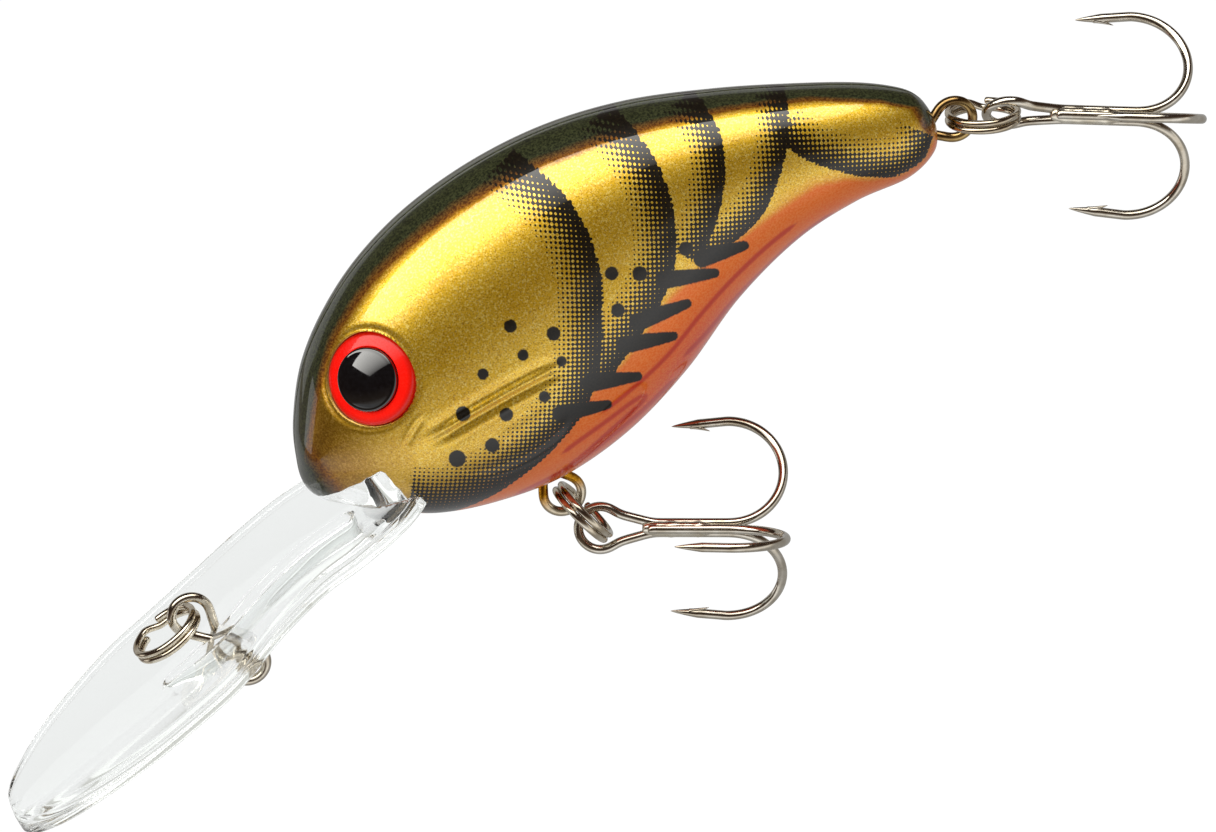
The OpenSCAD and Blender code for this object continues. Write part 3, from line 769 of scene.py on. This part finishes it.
for side, name in ((-1, "left"), (1, "right")):
    v, f = make_shell(side)
    ob = loose(name + "_painted_shell", v, f)
    for tool in (loose("t", *prism(WEDGE, -20, 20)), loose("t", *lip_form(40, 40, 0.12, False))):
        boolean(ob, tool, "DIFFERENCE")
        drop(tool)
    # the eye's seat
    em, eo = eye_frame(side)
    sv, sf = lathe([(4.14, -2.2), (4.14, 0.0), (4.30, 0.6), (4.6, 1.4), (5.2, 2.6)], 128, em, eo)
    cut = loose("t", sv, sf)
    boolean(ob, cut, "DIFFERENCE")
    drop(cut)
    # ways in for the hanger wires
    for p, q, r in (((19.1, -14.0), (18.9, -9.0), 0.72), ((66.0, -1.5), (60.5, -1.0), 0.72)):
        path = np.array([[p[0], 0, p[1]], [q[0], 0, q[1]]]) + NOSE
        cut = loose("t", *sweep(np.linspace(path[0], path[1], 8), 1.15, 24, cap_round=False))
        boolean(ob, cut, "DIFFERENCE")
        drop(cut)
    me = ob.data
    co = np.zeros(len(me.vertices) * 3)
    me.vertices.foreach_get("co", co)
    co = co.reshape(-1, 3) / MM - NOSE
    a, c, b = section_at(co[:, 0])
    rho = np.hypot(co[:, 1] / b, (co[:, 2] - c) / a)
    thin = np.minimum(a, b)
    inside = ((1 - rho) * thin > 0.45).astype(float)
    inside[(co[:, 0] < 0.6) | (co[:, 0] > 63.0)] = 0
    fields = paint_fields(co[:, 0], co[:, 1], co[:, 2])
    fields["inside"] = inside
    for k, val in fields.items():
        at = me.attributes.new(k, "FLOAT", "POINT")
        at.data.foreach_set("value", np.ascontiguousarray(val, np.float32))
    me.materials.clear()
    me.materials.append(PAINT)
    smooth_all(ob)
    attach(ob, "body")
    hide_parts(name + "_shell")

# ------------------------------------------------------------------ the clear lip

lip = loose("clear_diving_lip", *lip_form(150, 120))
root = loose("t", *body_solid(150, 120, 0.03))
block = loose("t", *prism([(-3, -13), (-3, -2.5), (6.62, -0.52), (8.2, -11.5), (8.1, -13)], -12, 12))
boolean(root, block, "INTERSECT")
boolean(lip, root, "UNION")
drop(root)
drop(block)
KEEL = [(1.6, -6.9, 1.6), (-1.5, -7.2, 1.6), (-4.5, -7.9, 1.6), (-7.5, -8.8, 1.6), (-10.2, -10.0, 1.6), (-13.2, -11.0, 1.5), (-16.0, -11.6, 1.3), (-18.8, -11.9, 0.9)]
kp = catmull([(a, 0, b) for a, b, _ in KEEL], 6)
kr = np.interp(np.linspace(0, 1, len(kp)), np.linspace(0, 1, len(KEEL)), [k[2] for k in KEEL])
keel = loose("t", *sweep(kp + NOSE, kr, 28, squash=0.82, up=(0, 1, 0)))
boolean(lip, keel, "UNION")
drop(keel)
lip.data.materials.clear()
lip.data.materials.append(CLEAR)
smooth_all(lip)
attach(lip, "body")
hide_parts("diving_lip")

# ------------------------------------------------------------------ the eyes

for side, name in ((-1, "left"), (1, "right")):
    m, o = eye_frame(side)
    top = lambda r: -10.8 + math.sqrt(10.9 ** 2 - r * r)
    rr = np.linspace(2.86, 3.75, 12)
    prof = [(2.84, -1.0), (2.84, top(2.84) - 0.12)] + [(r, top(r) + 0.02) for r in rr]
    prof += [(3.75 + 0.29 * math.sin(t), top(3.75) - 0.24 * (1 - math.cos(t)) + 0.02 - 0.1 * t) for t in np.linspace(0.2, 1.57, 8)]
    prof += [(4.04, -1.5)]
    v, f = lathe(prof, 128, m, o)
    n = 128
    k = len(prof)
    f = f[:-2] + [((k - 1) * n + j, (k - 1) * n + (j + 1) % n, (j + 1) % n, j) for j in range(n)]
    ob = put(name + "_eye_disc", v, f, None, RED, None)
    bm = bmesh.new(); bm.from_mesh(ob.data); bmesh.ops.recalc_face_normals(bm, faces=bm.faces); bm.to_mesh(ob.data); bm.free()
    smooth_all(ob)
    rad = np.repeat([p[0] for p in prof], n)
    at = ob.data.attributes.new("edge", "FLOAT", "POINT")
    at.data.foreach_set("value", np.ascontiguousarray(rad / 4.05, np.float32))
    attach(ob, "body"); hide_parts(name + "_eye_iris")
    dome = [(0.02, 0.8)] + [(r, -5.6 + math.sqrt(6.4 ** 2 - r * r)) for r in np.linspace(0.25, 2.55, 20)]
    dome += [(2.55 + 0.24 * math.sin(t), dome[-1][1] - 0.22 * (1 - math.cos(t))) for t in np.linspace(0.25, 1.57, 7)] + [(2.79, -0.9)]
    v, f = lathe(dome, 112, m, o)
    ob = put(name + "_eye_dome", v, f, None, BLACK, None)
    bm = bmesh.new(); bm.from_mesh(ob.data); bmesh.ops.recalc_face_normals(bm, faces=bm.faces); bm.to_mesh(ob.data); bm.free()
    smooth_all(ob)
    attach(ob, "body"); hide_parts(name + "_eye_pupil")

# ------------------------------------------------------------------ wires

def eight(p, q, r, wire, name, material, slot, node):
    p, q = np.array(p, float), np.array(q, float)
    d = np.linalg.norm(q - p)
    b = math.asin(2 * r / d)
    s = 0.54 * wire
    pts = []
    for t in np.linspace(0, 1, 40):
        w = math.pi / 2 - b + (math.pi + 2 * b) * t
        pts.append((r * math.cos(w), r * math.sin(w), 0))
    x0 = r * math.sin(b)
    for t in np.linspace(0, 1, 18)[1:-1]:
        pts.append((x0 + (d - 2 * x0) * t, -r * math.cos(b) * (1 - 2 * t), s * math.sin(math.pi * t)))
    for t in np.linspace(0, 1, 40):
        w = math.pi / 2 + b - (math.pi + 2 * b) * t
        pts.append((d + r * math.cos(w), r * math.sin(w), 0))
    for t in np.linspace(1, 0, 18)[1:-1]:
        pts.append((x0 + (d - 2 * x0) * t, r * math.cos(b) * (1 - 2 * t), -s * math.sin(math.pi * t)))
    pts = soften(resample(pts, 0.16, True), 6, True)
    ax = (q - p) / d
    up = np.array([-ax[1], ax[0]])
    world = np.stack([p[0] + pts[:, 0] * ax[0] + pts[:, 1] * up[0], -pts[:, 2], p[1] + pts[:, 0] * ax[1] + pts[:, 1] * up[1]], 1)
    v, f = sweep(world, wire / 2, 22, True)
    ob = put(name, v, f, "body", material, slot, replaces=(node,))
    return ob


eight((0, 0), (2.1, -6.7), 1.72, 0.86, "line_tie_figure_eight", TIE_WIRE, "nickel_wire", "line_tie_wire")
eight((33.5, -7.6), (33.2, -0.9), 1.72, 0.86, "belly_figure_eight", GOLD_BELLY, "gold_painted_wire", "belly_hanger")
eight((79.4, 4.9), (72.9, 5.6), 1.72, 0.86, "tail_figure_eight", TAIL_WIRE, "gold_painted_wire", "tail_hanger")

RING_R, RING_W, LEAD = (6.7 - 0.65) / 2, 0.65, 0.4


def split_ring(p, turn, gap, name, body, node):
    h = RING_W / 2 + 0.005
    deg = np.radians
    path = []
    for a in np.arange(16, 701.5, 3):
        # two flat coils with one short crossing between them
        k = np.clip((a - 342) / 36, 0, 1)
        k = k * k * (3 - 2 * k)
        path.append((RING_R * math.cos(deg(a)), RING_R * math.sin(deg(a)), -h + 2 * h * k))
    path = np.array(path)
    g = deg(gap)
    x, y = path[:, 0] * math.cos(g) - path[:, 1] * math.sin(g), path[:, 0] * math.sin(g) + path[:, 1] * math.cos(g)
    path = np.stack([x + RING_R - LEAD, y, path[:, 2]], 1)
    t = deg(turn)
    world = np.stack([path[:, 0] * math.cos(t) + path[:, 2] * math.sin(t), path[:, 1], -path[:, 0] * math.sin(t) + path[:, 2] * math.cos(t)], 1)
    world = world + np.array([p[0], 0, p[1]])
    up = np.array([math.sin(t), 0, math.cos(t)])
    v, f = sweep(world, RING_W / 2, 18, False, up=up, squash=0.96, cap_round=True)
    return put(name, v, f, body, RING, "nickel_ring", replaces=(node,))


split_ring((0, 0), 172, 70, "line_tie_split_ring", "line_ring", "line_tie_ring")
split_ring((33.5, -7.6), 74, 90, "belly_split_ring", "belly_link", "belly_ring")
split_ring((79.4, 4.9), 25, 90, "tail_split_ring", "tail_link", "tail_ring")

# ------------------------------------------------------------------ trebles

EYE_R, SHANK, BEND, POINT, CL, WIRE = 1.98, 11.4, 4.8, 5.1, 0.5, 0.85


def rot_x(p, deg):
    t = math.radians(deg)
    p = np.asarray(p, float)
    return np.stack([p[:, 0], p[:, 1] * math.cos(t) - p[:, 2] * math.sin(t), p[:, 1] * math.sin(t) + p[:, 2] * math.cos(t)], 1)


def hook_line(start):
    """Shank, bend and point of one hook, in the XZ plane, rising toward +Z, and the wire's radius along it."""
    pts = [(x, 0, CL) for x in np.arange(start, SHANK, 0.3)]
    for a in np.linspace(-90, 90, 46):
        # the bend is a half circle of even radius
        r = BEND
        pts.append((SHANK + r * math.cos(math.radians(a)), 0, CL + BEND + r * math.sin(math.radians(a))))
    tilt = math.radians(6)
    end = np.array([SHANK, 0, CL + 2 * BEND])
    step = np.array([-math.cos(tilt), 0, -math.sin(tilt)])
    for s in np.linspace(0.1, POINT, 46):
        pts.append(tuple(end + step * s))
    pts = soften(np.array(pts), 4)
    d = np.r_[0, np.cumsum(np.linalg.norm(np.diff(pts, axis=0), axis=1))]
    left = d[-1] - d
    rad = np.full(len(pts), WIRE / 2)
    # ground point: a long taper that ends sharp
    k = np.clip(left / 2.5, 0, 1)
    rad = rad * (k ** 0.72) + 0.012
    rad = np.minimum(rad, WIRE / 2)
    return pts, rad


def barb():
    """A sliver cut up from the inner side of the point."""
    tilt = math.radians(6)
    end = np.array([SHANK, 0, CL + 2 * BEND])
    step = np.array([-math.cos(tilt), 0, -math.sin(tilt)])
    inner = np.array([math.sin(tilt), 0, -math.cos(tilt)])
    root = end + step * (POINT - 2.25)
    path, rad = [], []
    for t in np.linspace(0, 1, 12):
        path.append(root + step * (0.55 - 1.65 * t) + inner * (0.16 + 0.62 * t ** 1.25))
        rad.append(0.23 * (1 - t) ** 0.8 + 0.02)
    return np.array(path), np.array(rad)


def treble(p, fall, lean, roll, eye_turn, prefix, body):
    def place(v):
        v = rot_x(v, roll)
        k = math.radians(lean)
        v = np.stack([v[:, 0] * math.cos(k) + v[:, 1] * math.sin(k), v[:, 1] * math.cos(k) - v[:, 0] * math.sin(k), v[:, 2]], 1)
        t = math.radians(fall)
        v = np.stack([v[:, 0] * math.cos(t) + v[:, 2] * math.sin(t), v[:, 1], -v[:, 0] * math.sin(t) + v[:, 2] * math.cos(t)], 1)
        return v + np.array([p[0], 0, p[1]])

    # the doubled wire: point, bend, shank, round the eye, shank, bend, point
    line, rad = hook_line(4.6)
    arms = []
    for k in (-1, 1):
        arms.append(rot_x(line, 90 + k * 120))
    a = 40
    loop = []
    for w in np.linspace(a, 360 - a, 60):
        loop.append((EYE_R * math.cos(math.radians(w)), 0, EYE_R * math.sin(math.radians(w))))
    loop = rot_x(np.array(loop), eye_turn)
    one, two = arms[1], arms[0]  # +z side first
    if one[0][2] < two[0][2]:
        one, two = two, one
    seq = np.vstack([one[::-1], loop, two])
    rads = np.r_[rad[::-1], np.full(len(loop), WIRE / 2), rad]
    # even spacing, then round the two necks
    d = np.r_[0, np.cumsum(np.linalg.norm(np.diff(seq, axis=0), axis=1))]
    n = int(d[-1] / 0.14)
    t = np.linspace(0, d[-1], n)
    seq = np.stack([np.interp(t, d, seq[:, k]) for k in range(3)], 1)
    rads = np.interp(t, d, rads)
    keep = seq.copy()
    seq = soften(seq, 22)
    # rounding must not shorten the bends: outside the eye and neck the line stays as it was
    along_x = keep[:, 0]
    wgt = smoothstep(along_x, 4.6, 6.5)[:, None]
    seq = keep * wgt + seq * (1 - wgt)
    v, f = sweep(seq, rads, 22)
    parts = [(place(v), f)]
    bp, br = barb()
    for k in (-1, 1):
        bv, bf = sweep(rot_x(bp, 90 + k * 120), br, 12)
        parts.append((place(bv), bf))
    double = put(prefix + "_treble_pair", *join(*parts), body, NICKEL, "hook_steel", replaces=(prefix + "_hook_double",))
    line, rad = hook_line(4.4)
    v, f = sweep(rot_x(line, 90), rad, 22)
    bv, bf = sweep(rot_x(bp, 90), br, 12)
    single = put(prefix + "_treble_third", *join((place(v), f), (place(bv), bf)), body, NICKEL, "hook_steel", replaces=(prefix + "_hook_single",))
    # brazing metal drawn into the grooves between the three shanks
    prof_r = []
    xs = np.linspace(3.7, 10.2, 60)
    q = np.linspace(0, 2 * np.pi, 60, endpoint=False)
    rings = []
    for x in xs:
        e = min(1.0, (x - 3.7) / 1.2, (10.2 - x) / 1.6)
        e = max(e, 0.0) ** 0.5
        lump = 0.03 * math.sin(x * 2.3) + 0.02 * math.sin(x * 5.1 + 1)
        r = 0.30 + e * (0.42 + lump) + 0.07 * e * np.cos(3 * (q - math.radians(-90)))
        rings.append(np.stack([np.full(60, x), r * np.cos(q), r * np.sin(q)], 1))
    v = np.vstack(rings)
    f = [(i * 60 + k, i * 60 + (k + 1) % 60, (i + 1) * 60 + (k + 1) % 60, (i + 1) * 60 + k) for i in range(59) for k in range(60)]
    f += [tuple(range(59, -1, -1)), tuple(59 * 60 + k for k in range(60))]
    braze = put(prefix + "_treble_braze", place(v), f, body, BRAZE, "braze", replaces=(prefix + "_hook_braze",))
    for ob in (double, single, braze):
        bm = bmesh.new(); bm.from_mesh(ob.data); bmesh.ops.recalc_face_normals(bm, faces=bm.faces); bm.to_mesh(ob.data); bm.free()
        smooth_all(ob)


def ring_end(p, turn):
    l = 6.7 - 0.65 - LEAD - 0.75
    return (p[0] + l * math.cos(math.radians(turn)), p[1] - l * math.sin(math.radians(turn)))


treble(ring_end((33.5, -7.6), 74), 28, 11, -12, 0, "belly", "belly_treble")
treble(ring_end((79.4, 4.9), 25), 31, 7, -18, 57, "tail", "tail_treble")

for ob in bpy.data.objects:
    if ob.type == "MESH" and ("split_ring" in ob.name or "figure_eight" in ob.name):
        bm = bmesh.new(); bm.from_mesh(ob.data); bmesh.ops.recalc_face_normals(bm, faces=bm.faces); bm.to_mesh(ob.data); bm.free()
        smooth_all(ob)

# the loose pieces inside keep their CAD shape
for node in ("ballast_ball", "rattle_ball_front", "rattle_ball_rear"):
    ob = frame["nodes"][node]
    for s in range(max(1, len(ob.material_slots))):
        if len(ob.material_slots) == 0:
            ob.data.materials.append(STEEL)
        else:
            ob.material_slots[s].material = STEEL

# ------------------------------------------------------------------ floor, light, camera

def floor_material():
    n = Nodes("pale_floor")
    co = n.coords()
    c = n.mix(n.range(n.noise(co, 6, 2, 0.5), 0.3, 0.7), (0.985, 0.985, 0.985), (1.0, 1.0, 1.0))
    lp = n.new("ShaderNodeLightPath")
    direct = n.math("MAXIMUM", lp.outputs["Is Camera Ray"], lp.outputs["Is Transmission Ray"])
    # in reflections it is brightest in a strip in front of the lure
    at = n.new("ShaderNodeSeparateXYZ")
    n.link(co, at.inputs[0])
    strip = n.math("MULTIPLY", n.range(at.outputs[1], -0.26, -0.12), n.range(at.outputs[1], -0.035, -0.085))
    bounce = n.math("ADD", n.math("MULTIPLY", strip, 0.85), 0.42)
    glow = n.math("ADD", n.math("MULTIPLY", direct, n.math("SUBTRACT", 1.02, bounce)), bounce)
    p = n.principled(Base_Color=(0.03, 0.03, 0.03, 1), Roughness=0.9)
    p.inputs["Specular IOR Level"].default_value = 0.0
    n.link(c, p.inputs["Emission Color"])
    n.link(glow, p.inputs["Emission Strength"])
    return n.done(p.outputs[0])


fv = [(-1500, -450, -75), (1500, -450, -75), (1500, 2500, -75), (-1500, 2500, -75)]
floor = put("studio_floor", fv, [(0, 1, 2, 3)], None, floor_material(), None, smooth=False)


def area(name, at, aim, size, size_y, power, colour=(1, 1, 1), spread=math.pi):
    l = bpy.data.lights.new(name, "AREA")
    l.shape = "RECTANGLE"
    l.size, l.size_y = size, size_y
    l.energy = power
    l.color = colour
    l.spread = spread
    o = bpy.data.objects.new(name, l)
    scene.collection.objects.link(o)
    o.location = at
    if at[0] == aim[0] and at[1] == aim[1]:
        o.rotation_euler = (0, 0, 0)
    else:
        o.rotation_euler = (Vector(aim) - Vector(at)).to_track_quat("-Z", "Y").to_euler()
    return o


mid = (0.045, 0, 0.01)
# a long softbox above, its far edge straight over the lure, and weaker boxes in front and behind
box_light = area("overhead_softbox", (0.10, -0.285, 0.47), (0.10, -0.285, 0), 1.04, 0.47, 10.0, (1.0, 0.985, 0.94))
area("rear_card", (0.0, 0.95, 0.30), mid, 1.7, 0.45, 1.3, (0.97, 1.0, 1.0))
area("nose_card", (-0.75, 0.35, 0.18), mid, 0.30, 0.30, 0.35)
# the softbox is brightest along its far edge and dies away toward the camera
lamp = box_light.data
lamp.use_nodes = True
lt = lamp.node_tree
em = lt.nodes["Emission"]
geo = lt.nodes.new("ShaderNodeNewGeometry")
sp = lt.nodes.new("ShaderNodeSeparateXYZ")
lt.links.new(geo.outputs["Position"], sp.inputs[0])
mr = lt.nodes.new("ShaderNodeMapRange")
mr.inputs[1].default_value, mr.inputs[2].default_value = -0.52, -0.05
mr.inputs[3].default_value, mr.inputs[4].default_value = 0.12, 1.0
lt.links.new(sp.outputs[1], mr.inputs[0])
lt.links.new(mr.outputs[0], em.inputs["Strength"])

world = bpy.data.worlds.new("studio")
scene.world = world
world.use_nodes = True
wt = world.node_tree
bg = wt.nodes["Background"]
tc = wt.nodes.new("ShaderNodeTexCoord")
sep = wt.nodes.new("ShaderNodeSeparateXYZ")
wt.links.new(tc.outputs["Generated"], sep.inputs[0])


def sky(stops):
    r = wt.nodes.new("ShaderNodeValToRGB")
    e = r.color_ramp.elements
    while len(e) > 1:
        e.remove(e[-1])
    e[0].position, e[0].color = stops[0][0], (*stops[0][1], 1)
    for p, c in stops[1:]:
        e.new(p).color = (*c, 1)
    half = wt.nodes.new("ShaderNodeMath")
    half.operation = "MULTIPLY_ADD"
    half.inputs[1].default_value = 0.5
    half.inputs[2].default_value = 0.5
    wt.links.new(sep.outputs[2], half.inputs[0])
    wt.links.new(half.outputs[0], r.inputs[0])
    return r.outputs[0]


room = sky([(0.0, (0.8, 0.8, 0.78)), (0.42, (0.55, 0.52, 0.48)), (0.49, (0.15, 0.11, 0.08)), (0.62, (0.05, 0.03, 0.022)), (1.0, (0.05, 0.04, 0.035))])
through = sky([(0.0, (1.0, 1.0, 1.0)), (0.5, (0.97, 0.97, 0.96)), (0.62, (0.74, 0.74, 0.70)), (1.0, (0.62, 0.62, 0.58))])
lp = wt.nodes.new("ShaderNodeLightPath")
mix1 = wt.nodes.new("ShaderNodeMix")
mix1.data_type = "RGBA"
wt.links.new(lp.outputs["Is Transmission Ray"], mix1.inputs[0])
wt.links.new(room, mix1.inputs[6])
wt.links.new(through, mix1.inputs[7])
mix2 = wt.nodes.new("ShaderNodeMix")
mix2.data_type = "RGBA"
wt.links.new(lp.outputs["Is Camera Ray"], mix2.inputs[0])
wt.links.new(mix1.outputs[2], mix2.inputs[6])
mix2.inputs[7].default_value = (1.0, 1.0, 1.0, 1)
wt.links.new(mix2.outputs[2], bg.inputs[0])
bg.inputs[1].default_value = 1.0
world.cycles.sampling_method = "NONE"
# the clear lip pipes light, so its rays need many turns
scene.cycles.max_bounces = 32
scene.cycles.glossy_bounces = 24
scene.cycles.transmission_bounces = 24

back = Vector((0, -CE, SE))
right = Vector((0.868, -0.497 * SE, -0.497 * CE))
up = Vector((0.497, 0.868 * SE, 0.868 * CE))
# the picture's middle, 1216 x 832 at 11.41 pixels a millimetre
cx, cv = 608, 416
body_x = (0.868 * cx - 0.497 * cv - 25) / 11.41
body_v = (-0.497 * cx - 0.868 * cv + 562) / 11.41
target = Vector(((body_x + NOSE[0]) * MM, 0, (body_v / CE + NOSE[2]) * MM))
dist = 0.75
cam = bpy.data.cameras.new("camera")
cam.sensor_width = 36
cam.lens = 36 * dist / (1216 / 11.41 * MM)
cam.clip_end = 20
co = bpy.data.objects.new("camera", cam)
scene.collection.objects.link(co)
m = Matrix((right, up, back)).transposed().to_4x4()
m.translation = target + back * dist
co.matrix_world = m
scene.camera = co
scene.view_settings.view_transform = "Standard"
scene.view_settings.look = "None"
